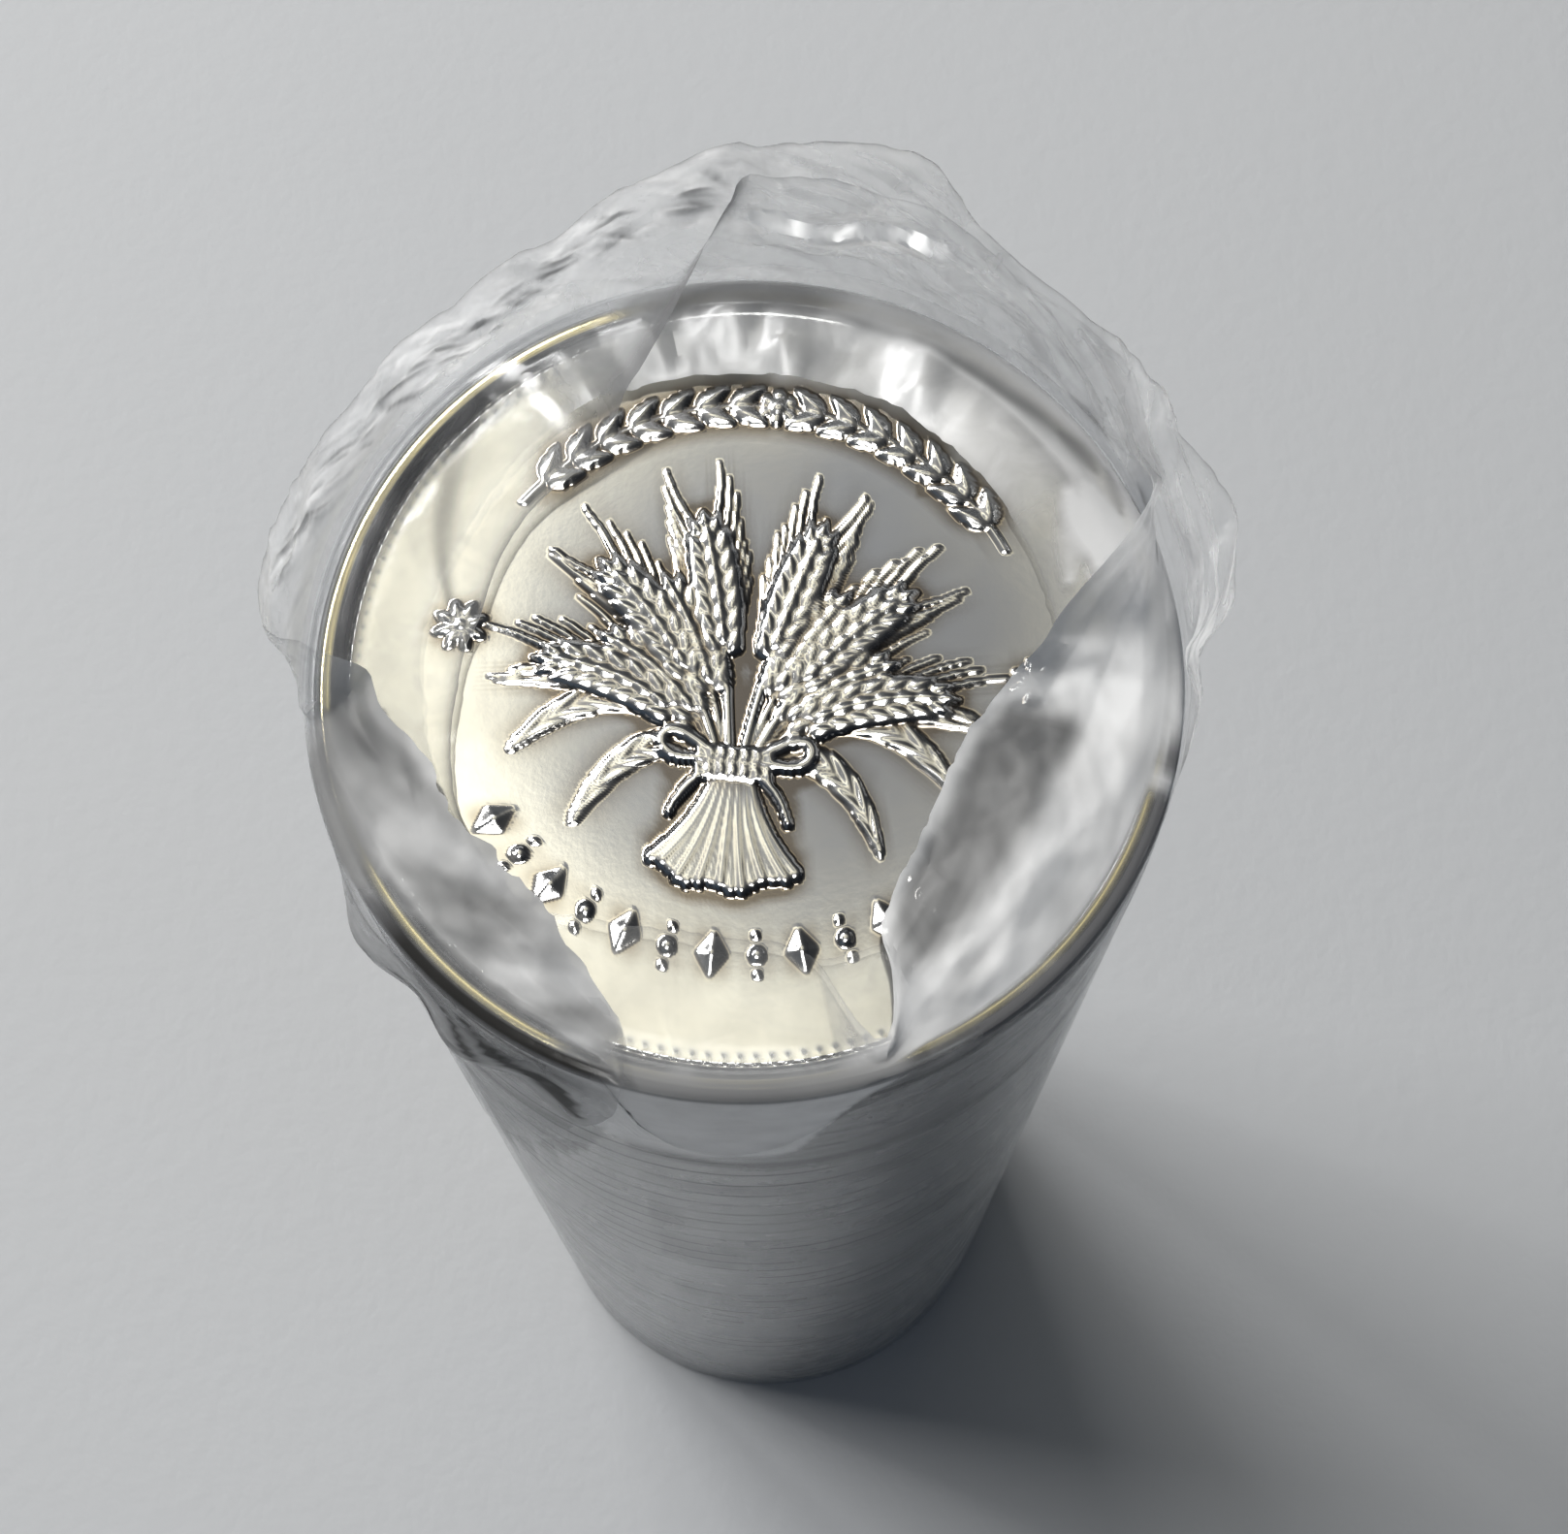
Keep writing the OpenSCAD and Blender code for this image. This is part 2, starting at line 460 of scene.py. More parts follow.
    # lozenges and pellets below, and a rosette at each side
    for k, d in enumerate(np.linspace(-52, 52, 13)):
        t = math.radians(-90 + d)
        cx, cy = 7.1 * math.cos(t), 7.1 * math.sin(t)
        if k % 2 == 0:
            f.lozenge(cx, cy, t, 0.62, 0.42, 0.075)
            f.dome(cx, cy, 0.13, 0.06, 0.035)
        else:
            f.dome(cx, cy, 0.2, 0.0, 0.078)
            for o in (-0.48, 0.48):
                f.dome((7.1 + o) * math.cos(t), (7.1 + o) * math.sin(t), 0.10, 0.0, 0.05)
    for c in (0, 180):
        t = math.radians(c + (4 if c == 0 else -4))
        cx, cy = 7.15 * math.cos(t), 7.15 * math.sin(t)
        for k in range(8):
            a = math.radians(45 * k + 22.5)
            f.kernel(cx + 0.36 * math.cos(a), cy + 0.36 * math.sin(a), a, 0.33, 0.16, 0.01, 0.06, 0.015, 0.1)
        f.dome(cx, cy, 0.19, 0.02, 0.075)
    return f.h, f.kind


def face_height(x, y, turn):
    """Height over the coin's middle plane datum: 0 at the field's centre."""
    r = np.hypot(x, y)
    c, s = math.cos(turn), math.sin(turn)
    h, kind = struck(x * c + y * s, -x * s + y * c)
    dish = 0.0 * r
    # a border of short teeth against the rim
    n = 160
    th = np.arctan2(y, x)
    a = (th / (2 * np.pi) * n) % 1.0 - 0.5
    across = a * 2 * np.pi * 9.65 / n / 0.125
    bead = 0.006 * np.clip(1 - across**2, 0, 1) * smooth(9.44, 9.62, r)
    return dish + np.maximum(h, bead), np.maximum(kind, (bead > 0) * 1.0)


def coin_mesh(name, z0, turn, face_down=False):
    """A whole coin: one struck face, its raised rims, bevels, edge and a plain sunk back."""
    n = 264
    g = np.linspace(-1, 1, n + 1)
    a, b = np.meshgrid(g, g, indexing="ij")
    big = np.abs(a) > np.abs(b)
    with np.errstate(divide="ignore", invalid="ignore"):
        r = np.where(big, a, b)
        ph = np.where(big, np.pi / 4 * (b / a), np.pi / 2 - np.pi / 4 * (a / b))
    ph[(a == 0) & (b == 0)] = 0
    rf = 9.76
    x, y = rf * r * np.cos(ph), rf * r * np.sin(ph)
    x, y = x.ravel(), y.ravel()
    h, kind = face_height(x, y, turn)
    zf = COIN_T - FIELD
    h = h * 1.25
    verts = [np.stack([x, y, zf + h], 1)]
    marks = [kind]
    rows = n + 1
    idx = np.arange(rows * rows).reshape(rows, rows)
    quads = np.stack([idx[:-1, :-1], idx[1:, :-1], idx[1:, 1:], idx[:-1, 1:]], -1).reshape(-1, 4)
    # the square's border, in order, is the face's outer circle
    ring = np.concatenate([idx[-1, :-1], idx[:0:-1, -1], idx[0, :0:-1], idx[:-1, 0]])
    t = np.arctan2(y[ring], x[ring])
    if (np.diff(np.unwrap(t)) < 0).mean() > 0.5:
        ring, t = ring[::-1], t[::-1]
    if np.cross(verts[0][quads[0, 1]][:2] - verts[0][quads[0, 0]][:2], verts[0][quads[0, 2]][:2] - verts[0][quads[0, 0]][:2]) < 0:
        quads = quads[:, ::-1]
    faces = [quads]
    m = len(ring)
    edge_h = h[ring].mean()
    # the section from the field up over the rim, down the edge and in under the back
    prof = [
        (9.79, zf + edge_h + 0.003), (9.84, zf + 0.018), (9.91, zf + 0.065), (10.06, COIN_T - 0.034), (10.12, COIN_T - 0.007),
        (10.17, COIN_T), (10.34, COIN_T - 0.002), (10.40, COIN_T - 0.022), (10.48, COIN_T - 0.080), (10.55, COIN_T - 0.165),
        (10.59, COIN_T - 0.26), (10.60, COIN_T - 0.36), (10.60, 0.36), (10.59, 0.26), (10.55, 0.165), (10.48, 0.080),
        (10.40, 0.022), (10.34, 0.002), (10.17, 0.0), (10.12, 0.007), (10.06, 0.034), (9.91, 0.135), (9.80, 0.19), (9.5, 0.20),
    ]
    prev, count = ring, rows * rows
    for pr, pz in prof:
        verts.append(np.stack([pr * np.cos(t), pr * np.sin(t), np.full(m, pz)], 1))
        marks.append(np.full(m, 0.5))
        cur = count + np.arange(m)
        count += m
        faces.append(np.stack([prev, cur, np.roll(cur, -1), np.roll(prev, -1)], 1)[:, ::-1])
        prev = cur
    v = np.concatenate(verts)
    mk = np.concatenate(marks)
    fs = np.concatenate(faces)[:, ::-1]
    # plain back, drawn as rings to its middle
    for pr in (6.0, 3.0, 1.0):
        v = np.concatenate([v, np.stack([pr * np.cos(t), pr * np.sin(t), np.full(m, 0.20)], 1)])
        mk = np.concatenate([mk, np.zeros(m)])
        cur = count + np.arange(m)
        count += m
        fs = np.concatenate([fs, np.stack([prev, cur, np.roll(cur, -1), np.roll(prev, -1)], 1)])
        prev = cur
    polys = fs.tolist() + [prev[::-1].tolist()]
    if face_down:
        v = v * [1, -1, -1] + [0, 0, COIN_T]
    v[:, 2] += z0
    # how far each point lies below its surroundings, for the painted dark brown shade in the recesses
    hh = (zf + h).reshape(rows, rows)
    pad = np.pad(hh, 6, mode="edge")
    blur = sum(pad[i : i + rows, j : j + rows] for i in range(0, 13, 2) for j in range(0, 13, 2)) / 49
    recess_shade = np.zeros(len(v))
    recess_shade[: rows * rows] = np.clip((blur - hh).ravel() / 0.03, 0, 1) * (1 - smooth(9.1, 9.35, np.hypot(x, y)))
    # the outer corner of the rim, where a warm reflection is painted as a gold tint
    rr = np.hypot(v[:, 0], v[:, 1])
    warm = smooth(10.11, 10.17, rr) * (1 - smooth(10.36, 10.44, rr)) * (np.abs(v[:, 2] - z0 - COIN_T / 2) > COIN_T / 2 - 0.06)
    flank = smooth(10.42, 10.56, rr)
    return new_mesh(name, v, polys, attrs={"struck": mk, "recess": recess_shade, "bevel": warm, "flank": flank})


stack_z = 0.20
pitch = 1.77
top_coin = coin_mesh("coin_40_struck", stack_z + 39 * pitch, math.radians(-9))
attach(top_coin, "coin_40_body")
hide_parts("coin_40")

# ---------------------------------------------------------------- metal


def coin_metal(name, struck_face):
    k = Mat(name)
    co = k.coords()
    cloud = k.noise(co, 260.0, 4.0, 0.6)
    grit = k.noise(co, 5200.0, 2.0, 0.6)
    hair = k.noise(co, 900.0, 2.0, 0.5, stretch=(1.0, 0.06, 1.0), distort=0.6)
    if struck_face:
        base = k.mix(k.span(cloud, 0.35, 0.65, 0, 1), (0.79, 0.787, 0.774), (0.70, 0.694, 0.680))
        rough = k.span(cloud, 0.3, 0.7, 0.09, 0.14)
    else:  # the edges are rougher than the struck faces, and their far darker colour is painted shade for the sides of the stack
        base = k.mix(k.span(cloud, 0.35, 0.65, 0, 1), (0.215, 0.214, 0.211), (0.150, 0.149, 0.147))
        rough = k.span(cloud, 0.3, 0.7, 0.22, 0.32)
    if struck_face:
        # painted shade: the recesses are tinted dark brown, standing in for the dark reflections in their steep walls
        base = k.mix(k.math("MULTIPLY", k.attr("recess"), 0.75), base, (0.20, 0.14, 0.075))
        # painted highlight: the rim's outer corner is tinted gold, standing in for a warm reflection
        base = k.mix(k.attr("bevel"), base, (0.94, 0.83, 0.50))
        # the face's outer flank takes the edges' rougher look and their darker colour, painted shade as on the edges
        base = k.mix(k.attr("flank"), base, k.mix(k.span(cloud, 0.35, 0.65, 0, 1), (0.215, 0.214, 0.211), (0.150, 0.149, 0.147)))
        rough = k.math("ADD", rough, k.math("MULTIPLY", k.attr("struck"), 0.02))
        rough = k.math("ADD", rough, k.math("MULTIPLY", k.attr("flank"), 0.15))
    nrm = k.bump(grit, 0.05, 0.00001)
    nrm = k.bump(hair, 0.05, 0.00002, nrm)
    b = k.n("ShaderNodeBsdfPrincipled", {"Base Color": base, "Metallic": 1.0, "Roughness": rough, "Normal": nrm})
    return k.surface(b.outputs[0])


metal_face = coin_metal("coin_steel_struck", True)
metal_edge = coin_metal("coin_steel_edge", False)
top_coin.data.materials.append(metal_face)
for i in range(1, N_COINS + 1):
    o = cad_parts[f"coin_{i:02d}"]
    o.data.materials.clear()
    o.data.materials.append(metal_edge)

# ---------------------------------------------------------------- the film

# One sheet, wound nearly three times round the stack. A column of the grid is a place
# along the winding, in degrees; a row is a place across it, from the lower cut edge,
# in under the lowest coin, up the side and over the top rim to the upper cut edge.


class Noise:
    """Smooth lattice noise in two directions, from -1 to 1."""

    def __init__(self, seed, n=128):
        self.g, self.n = np.random.default_rng(seed).uniform(-1, 1, (n, n)), n

    def __call__(self, a, b):
        i, j = np.floor(a).astype(int), np.floor(b).astype(int)
        u, v = a - i, b - j
        u, v = u * u * (3 - 2 * u), v * v * (3 - 2 * v)
        g, n = self.g, self.n
        i0, i1, j0, j1 = i % n, (i + 1) % n, j % n, (j + 1) % n
        return (g[i0, j0] * (1 - u) + g[i1, j0] * u) * (1 - v) + (g[i0, j1] * (1 - u) + g[i1, j1] * u) * v


def creases(a, d, seed, waves):
    """Sharp folds: bent triangle waves (length, size, direction, spread) added up."""
    rng = np.random.default_rng(seed)
    bend, where = Noise(seed + 1), Noise(seed + 2)
    out = np.zeros(np.broadcast(a, d).shape)
    for lam, amp, deg, spread in waves:
        t = math.radians(deg + rng.uniform(-spread, spread))
        o = rng.uniform(0, 50, 6)
        p = (a * math.cos(t) + d * math.sin(t)) / lam + o[0]
        p = p + 0.75 * bend(a / (2.4 * lam) + o[1], d / (2.4 * lam) + o[2])
        tri = 4 * np.abs(p % 1 - 0.5) - 1
        out += amp * tri * (0.5 + 0.5 * where(a / (3.1 * lam) + o[3], d / (3.1 * lam) + o[4]))
    return out


def crumple(a, d, box, seed, count, width, length, size, dirs, whiten=None, line=0.13):
    """Straight sharp creases scattered over part of the sheet: box is degrees, then mm."""
    rng = np.random.default_rng(seed)
    out = np.zeros(a.shape)
    cols = a[0]
    lo, hi = np.radians(box[0]) * 10.7, np.radians(box[1]) * 10.7
    for _ in range(count):
        ca, cd = rng.uniform(lo, hi), rng.uniform(box[2], box[3])
        w, l = rng.uniform(*width), rng.uniform(*length)
        t = math.radians(rng.choice(dirs) + rng.normal(0, 14))
        amp = size * w * rng.uniform(0.5, 1.0) * rng.choice((-1.0, 1.0))
        reach = max(w, l) * 1.05
        i, j = np.searchsorted(cols, (ca - reach, ca + reach))
        if j <= i:
            continue
        da, dd = a[:, i:j] - ca, d[:, i:j] - cd
        x, y = -da * math.sin(t) + dd * math.cos(t), da * math.cos(t) + dd * math.sin(t)
        along = np.clip(1 - (y / l) ** 2, 0, None)
        out[:, i:j] += amp * np.clip(1 - np.abs(x) / w, 0, None) * along
        if whiten is not None:
            whiten[:, i:j] += np.exp(-((x / line) ** 2)) * along * abs(amp) / (size * w)
    return out


START, END = -80.0, 972.0
N_COL = 1000
turn_deg = np.linspace(START, END, N_COL)
layer = (turn_deg - START) / 360.0  # 0 to 2.9
R_col = 10.668 + 0.042 * layer
ZT = Z_TOP

# Where the upper cut edge lies: place along the winding, then the edge's own radius,
# direction and height above the top rim. A radius of 0 stands for the wound side.
edge = []
for t, r, h in (
    (-80, 7.45, 0.16), (-60, 7.7, 0.10), (0, 7.75, 0.10), (22, 7.7, 0.10), (44, 7.8, 0.12), (63, 8.0, 0.12), (82, 8.0, 0.12),
    (109, 8.1, 0.12), (125, 8.2, 0.10), (140, 7.9, 0.10), (166, 7.9, 0.10), (204, 7.9, 0.10), (227, 7.9, 0.15),
    (236, 7.34, 0.35), (254, 6.8, 0.45), (263, 6.85, 0.45), (273, 6.94, 0.42), (279, 7.3, 0.30),
):
    edge.append((t, r, t, h))
B = 360
for t, r, te, h in (
    (-78.5, 7.6, -78.5, 0.25), (-77, 9.0, -76.5, 0.25), (-75.5, 10.5, -74.5, 0.25), (-74, 9.6, -71.5, 0.28), (-71, 8.4, -69, 0.28),
    (-67, 7.33, -67.4, 0.28), (-57, 6.42, -57.3, 0.36), (-46, 5.94, -46.2, 0.5), (-34, 5.61, -34.3, 0.7), (-21, 5.66, -21.1, 0.9),
    (-8, 6.34, -8.7, 1.2), (3, 7.47, 1.8, 1.8), (10, 8.93, 9.1, 3.0), (14, 9.5, 12.4, 3.8), (25, 10.27, 24.4, 4.6),
    (33, 10.66, 32.5, 4.6), (50, 10.70, 50, 4.3), (64, 10.70, 64, 5.1), (78, 10.68, 79, 5.1), (86, 10.66, 87, 4.95),
):
    edge.append((t + B, r, te + B, h))
p1, p2 = np.array([0.56, 10.62, 4.95]), np.array([-3.74, 5.46, 0.42])
for q in np.linspace(0.06, 1, 14):  # a straight, taut edge from the wall down to the coin
    x, y, h = p1 + q * (p2 - p1)
    edge.append((86.5 + 45 * q + B, math.hypot(x, y), math.degrees(math.atan2(y, x)) + B, h))
for t, r, te, h in (
    (142, 6.75, 140.5, 0.34), (153, 6.67, 153, 0.32), (167, 6.61, 166.8, 0.32), (174, 6.84, 173.6, 0.32), (184, 7.06, 183.9, 0.32),
    (204, 7.76, 204.3, 0.30), (217, 7.85, 217, 0.28), (230, 8.0, 230, 0.25), (241, 8.7, 241.5, 0.22), (247, 9.9, 248, 0.22),
    (250, 0, 250, -0.3), (252, 0, 252, -3.6), (257, 0, 257, -6.2), (264, 0, 264, -6.8), (272, 0, 272, -5.5), (279, 0, 279, -2.6),
):
    edge.append((t + B, r, te + B, h))
C3 = 720
for t, r, te, h in (
    (-78, 0, -78, -1.8), (-70, 0, -70, -1.1), (-62, 0, -62, -0.9), (-58, 0, -58, -0.1), (-55, 0, -55, -0.2), (-52, 0, -52, -1.0),
    (-40, 0, -40, -1.2), (-30, 0, -30, -1.1), (-22, 0, -22, -0.8), (-18, 0, -18, 0.6), (-13, 10.9, -12.5, 4.2), (-9, 10.95, -9, 6.1),
    (-6, 10.95, -6, 6.6), (1, 10.95, 1, 6.15), (8, 10.95, 8, 6.3), (14, 10.95, 14, 6.14), (25.6, 10.95, 25.6, 5.12),
    (32, 10.95, 32, 4.67), (43, 10.95, 43, 4.38), (51, 10.95, 51, 4.5), (56.6, 10.95, 56.6, 5.0), (59.6, 10.95, 59.6, 5.72),
    (61.5, 10.95, 62, 6.5), (63, 10.95, 63.5, 6.75), (66.3, 10.95, 66.3, 6.72), (71.3, 10.95, 71.3, 6.66), (83.3, 10.95, 83.3, 6.11),
    (89.3, 10.95, 89.3, 5.83), (95.5, 10.95, 95.5, 5.05), (103, 10.95, 103, 4.68), (109, 10.95, 109, 3.83), (115, 10.95, 115, 3.54),
    (122.5, 10.95, 122.5, 3.41), (130, 10.95, 130, 3.33), (139, 10.95, 139, 3.09), (148, 10.95, 148, 3.5), (153, 10.95, 153, 3.73),
    (156, 10.95, 156, 3.67), (161, 10.95, 161, 4.26), (171.7, 10.95, 171.7, 4.6), (176, 10.95, 176, 4.73), (180, 10.92, 180, 4.0),
    (183, 10.5, 179.8, 3.3), (186, 9.8, 178.4, 1.8), (189, 9.0, 178.8, 0.95), (194, 8.69, 185.6, 0.75), (201, 7.85, 196.2, 0.65),
    (211, 7.79, 209.1, 0.6), (223, 7.58, 223.9, 0.52), (231, 7.68, 231.4, 0.5), (240, 8.49, 240.8, 0.42), (247.5, 9.12, 250.0, 0.34),
    (250, 10.3, 251.2, 0.3), (252, 10.6, 252, 0.2),
):
    edge.append((t + C3, r, te + C3, h))
edge = np.array(edge)
side_r = np.interp(edge[:, 0], turn_deg, R_col)
edge[:, 1] = np.where(edge[:, 1] == 0, side_r, edge[:, 1])
E_r, E_t, E_h = (np.interp(turn_deg, edge[:, 0], edge[:, k]) for k in (1, 2, 3))
win = np.array([1, 2, 3, 2, 1]) / 9
E_r, E_t, E_h = (np.convolve(np.pad(v, 2, mode="edge"), win, mode="valid") for v in (E_r, E_t, E_h))
# the cut is ragged
n1 = Noise(31)
arc = np.radians(turn_deg) * 10.7
rag = 0.06 * n1(arc / 0.36, 0 * arc + 3.3) + 0.05 * n1(arc / 1.1, 0 * arc + 9.1)
standing = smooth(0.9, 2.5, E_h)
lying = (E_h > 0.05) * (1 - standing)
E_h = E_h + rag * (0.35 + 1.15 * standing) * (E_h > 0.9)
E_r = E_r + rag * lying * np.where((turn_deg > B + 125) & (turn_deg < B + 252), 0.25, np.where(turn_deg > C3 + 190, 2.2, 0.8))

tc = np.radians(turn_deg)
te = np.radians(E_t)
K_h = np.minimum(0.14 + 0.05 * layer, E_h - 0.05 + np.maximum(R_col - E_r, 0) * 10)
K = np.stack([R_col * np.cos(tc), R_col * np.sin(tc), ZT + K_h], 1)
Ed = np.stack([E_r * np.cos(te), E_r * np.sin(te), ZT + E_h], 1)
run = np.linalg.norm(Ed - K, axis=1)
rho = np.minimum(0.28, 0.45 * run)
up_dir = (Ed - K) / np.maximum(run, 1e-6)[:, None]

rows, dist, zone = [], [], []  # zone: 0 under, 1 side, 2 top
# under the lowest coin
z_under = 0.105 - 0.028 * layer
r_in = 5.7 + 0.5 * layer + 0.35 * n1(arc / 3.1, 0 * arc + 21.5)
for q in np.linspace(0, 1, 9):
    r = r_in + (R_col - 0.12 - r_in) * q
    rows.append(np.stack([r * np.cos(tc), r * np.sin(tc), z_under], 1))
    dist.append(-80 + 0 * r + r - R_col)
    zone.append(0)
for q in (0.33, 0.66, 1.0):
    a = q * np.pi / 2
    r = R_col - 0.12 + 0.12 * math.sin(a)
    rows.append(np.stack([r * np.cos(tc), r * np.sin(tc), z_under + 0.12 * (1 - math.cos(a))], 1))
    dist.append(-80 + 0 * r + 0.1 * q)
    zone.append(0)
Z_LOW = ZT - 9.5
for z in np.concatenate([np.linspace(0.6, 56, 16), np.linspace(57.5, Z_LOW, 4)]):
    rows.append(np.stack([R_col * np.cos(tc), R_col * np.sin(tc), np.full(N_COL, z)], 1))
    dist.append(np.full(N_COL, z - ZT))
    zone.append(1)
k0 = K - np.array([0, 0, 1.0]) * rho[:, None]
k2 = K + up_dir * rho[:, None]
for q in np.linspace(0, 1, 37)[1:]:
    z = Z_LOW + (k0[:, 2] - Z_LOW) * q
    rows.append(np.stack([k0[:, 0], k0[:, 1], z], 1))
    dist.append(z - ZT)
    zone.append(1)
for q in np.linspace(0, 1, 7)[1:]:
    rows.append((1 - q) ** 2 * k0 + 2 * q * (1 - q) * K + q * q * k2)
    dist.append(k0[:, 2] - ZT + 2 * rho * q)
    zone.append(1.5)
N_TOP = 56
for q in np.linspace(0, 1, N_TOP + 1)[1:]:
    rows.append(k2 + (Ed - k2) * q)
    dist.append(k0[:, 2] - ZT + 2 * rho + (run - rho) * q)
    zone.append(2)
P = np.stack(rows, 0)  # row, column, xyz
D = np.stack(dist, 0)
zone = np.array(zone)
first_top = int(np.flatnonzero(zone == 2)[0])
U = np.zeros(P.shape[:2])
U[first_top:] = np.linspace(0, 1, N_TOP + 1)[1:, None]
A = np.broadcast_to(arc, D.shape)
T = np.broadcast_to(turn_deg, D.shape)
L = np.broadcast_to(layer, D.shape)


def between(a, b, soft=4.0):
    return smooth(a - soft, a + soft, T) * (1 - smooth(b - soft, b + soft, T))


top = (zone >= 1.5)[:, None] * 1.0
part_a = 1 - smooth(276, 282, T)
right_flap = between(B - 75, B + 22, 6) * top
back_wall = between(B + 16, B + 88, 4) * top
taut = between(B + 86, B + 130, 1.5) * top
left_clear = between(B + 130, B + 252, 4) * top
collar = between(C3 - 17, C3 + 181, 2.5) * top
left_flap = between(C3 + 184, C3 + 254, 2) * top

normal = np.cross(np.gradient(P, axis=1), np.gradient(P, axis=0))
normal /= np.maximum(np.linalg.norm(normal, axis=2), 1e-9)[..., None]
# outwards on the side, upwards on the folded ends
ref = np.where((zone >= 1.5)[:, None, None], np.array([0, 0, 1.0]) + 0.35 * P * [1, 1, 0] / 10.7, P * [1, 1, 0])
normal *= np.where((normal * ref).sum(2) < 0, -1, 1)[..., None]

flap_waves = [(2.8, 0.09, 84, 8), (4.6, 0.12, 68, 12)]
below = D - E_h  # distance below the upper cut edge, where the film stands
push = np.zeros(D.shape)
stress, dash, speck = (np.zeros(D.shape) for _ in range(3))
push += right_flap * 0.34 * smooth(0, 0.65, U)
push += right_flap * smooth(0, 0.25, U) * (
    0.8 * creases(A, D, 41, flap_waves)
    + crumple(A, D, (B - 72, B + 24, 0.8, 5.6), 42, 13, (0.9, 2.2), (3.5, 8.0), 0.13, (0, 10, -12), stress)
    + crumple(A, D, (B - 72, B + 14, 0.9, 5.6), 43, 70, (0.25, 0.65), (0.7, 2.4), 0.15, (0, 25, -25, 60, -60))
)
push += left_flap * smooth(0, 0.25, U) * (
    0.30 + 0.7 * creases(A, D, 52, flap_waves)
    + crumple(A, D, (C3 + 186, C3 + 250, 0.8, 3.6), 53, 9, (0.8, 1.8), (3.0, 6.5), 0.12, (0, 12, -15), stress)
    + crumple(A, D, (C3 + 186, C3 + 252, 0.8, 3.8), 54, 50, (0.25, 0.65), (0.7, 2.4), 0.15, (0, 25, -25, 60, -60))
)
push += collar * smooth(0.0, 0.35, U) * (
    creases(A, D, 63, [(6.5, 0.14, 8, 10), (3.6, 0.05, -20, 20)]) * (0.35 + 0.65 * U)
    + crumple(A, D, (C3 - 16, C3 + 182, 0.6, 6.6), 64, 60, (0.6, 1.8), (1.5, 4.5), 0.10, (90, 70, 110, 20, -25), stress)
    + crumple(A, D, (C3 - 14, C3 + 40, 1.0, 6.2), 67, 16, (0.6, 1.4), (2.4, 5.0), 0.20, (90, 75, 105), stress)
    + crumple(A, below, (C3 + 90, C3 + 170, -2.2, -1.0), 65, 58, (0.12, 0.18), (0.35, 0.85), 0.30, (22, 30, 38), dash, 0.085)
    + crumple(A, below, (C3 + 88, C3 + 176, -2.7, -0.5), 68, 46, (0.16, 0.30), (0.20, 0.45), 0.30, (0, 35, 70), speck, 0.11)
    + 0.03 * U**4 * creases(A, D, 66, [(0.55, 1.0, 25, 25)])
)
ledge = 3.68 + 0.16 * np.sin(A * 0.9) + 0.10 * np.sin(A * 2.3 + 1) + 0.05 * Noise(76)(A / 0.8, 0 * A + 4.4)
push += back_wall * smooth(0, 0.4, U) * (
    creases(A, D, 74, [(4.0, 0.12, 15, 20)])
    + crumple(A, D, (B + 14, B + 90, 0.5, 5.2), 75, 30, (0.6, 1.8), (1.5, 4.0), 0.18, (90, 60, 0, 120), stress)
    + crumple(A, D, (B + 12, B + 34, 1.0, 4.0), 77, 6, (0.4, 0.8), (2.0, 3.5), 0.55, (90, 82, 98), stress)
    - (0.50 + 0.14 * Noise(78)(A / 1.6, 0 * A + 7.7)) * between(B + 58, B + 87, 3) * smooth(0.8, 2.8, D) * (1 - smooth(ledge - 0.12, ledge + 0.12, D))
)
push += taut * smooth(0.05, 0.4, U) * crumple(A, D, (B + 90, B + 130, 0.5, 6), 85, 5, (1.0, 2.0), (3.0, 6.0), 0.05, (90, 75))
push += left_clear * smooth(0, 0.4, U) * (
    0.12 * np.sin(np.pi * U) + 0.4 * creases(A, D, 86, [(5.2, 0.07, 30, 25)])
    + crumple(A, D, (B + 128, B + 250, 0.5, 4.0), 87, 15, (0.9, 1.9), (2.0, 4.5), 0.055, (90, 60, 120, 75))
)
push += part_a * top * smooth(0, 0.3, U) * (
    0.12 * np.sin(np.pi * np.clip(U, 0, 1)) + creases(A, D, 97, [(6.0, 0.03, 15, 20)])
    + crumple(A, D, (-80, 230, 0.4, 3.4), 98, 30, (0.8, 2.0), (1.6, 4.0), 0.06, (0, 20, -20, 70))
    + crumple(A, D, (44, 116, 0.5, 2.8), 99, 30, (0.6, 1.5), (1.2, 3.0), 0.20, (90, 75, 105, 10))
)
# the outer end of the sheet is cut on a slant
lean = 62 * smooth(-1.0, -46.0, D) * smooth(C3 + 40, C3 + 252, T)
lean += (5.5 * smooth(0.4, -4.5, D) + 0.7 * np.sin(1.3 * D) * smooth(0.2, -1.5, D)) * smooth(C3 + 205, C3 + 252, T)
ca_, sa_ = np.cos(np.radians(-lean)), np.sin(np.radians(-lean))
for arr in (P, normal):
    x_, y_ = arr[..., 0].copy(), arr[..., 1].copy()
    arr[..., 0], arr[..., 1] = x_ * ca_ - y_ * sa_, x_ * sa_ + y_ * ca_
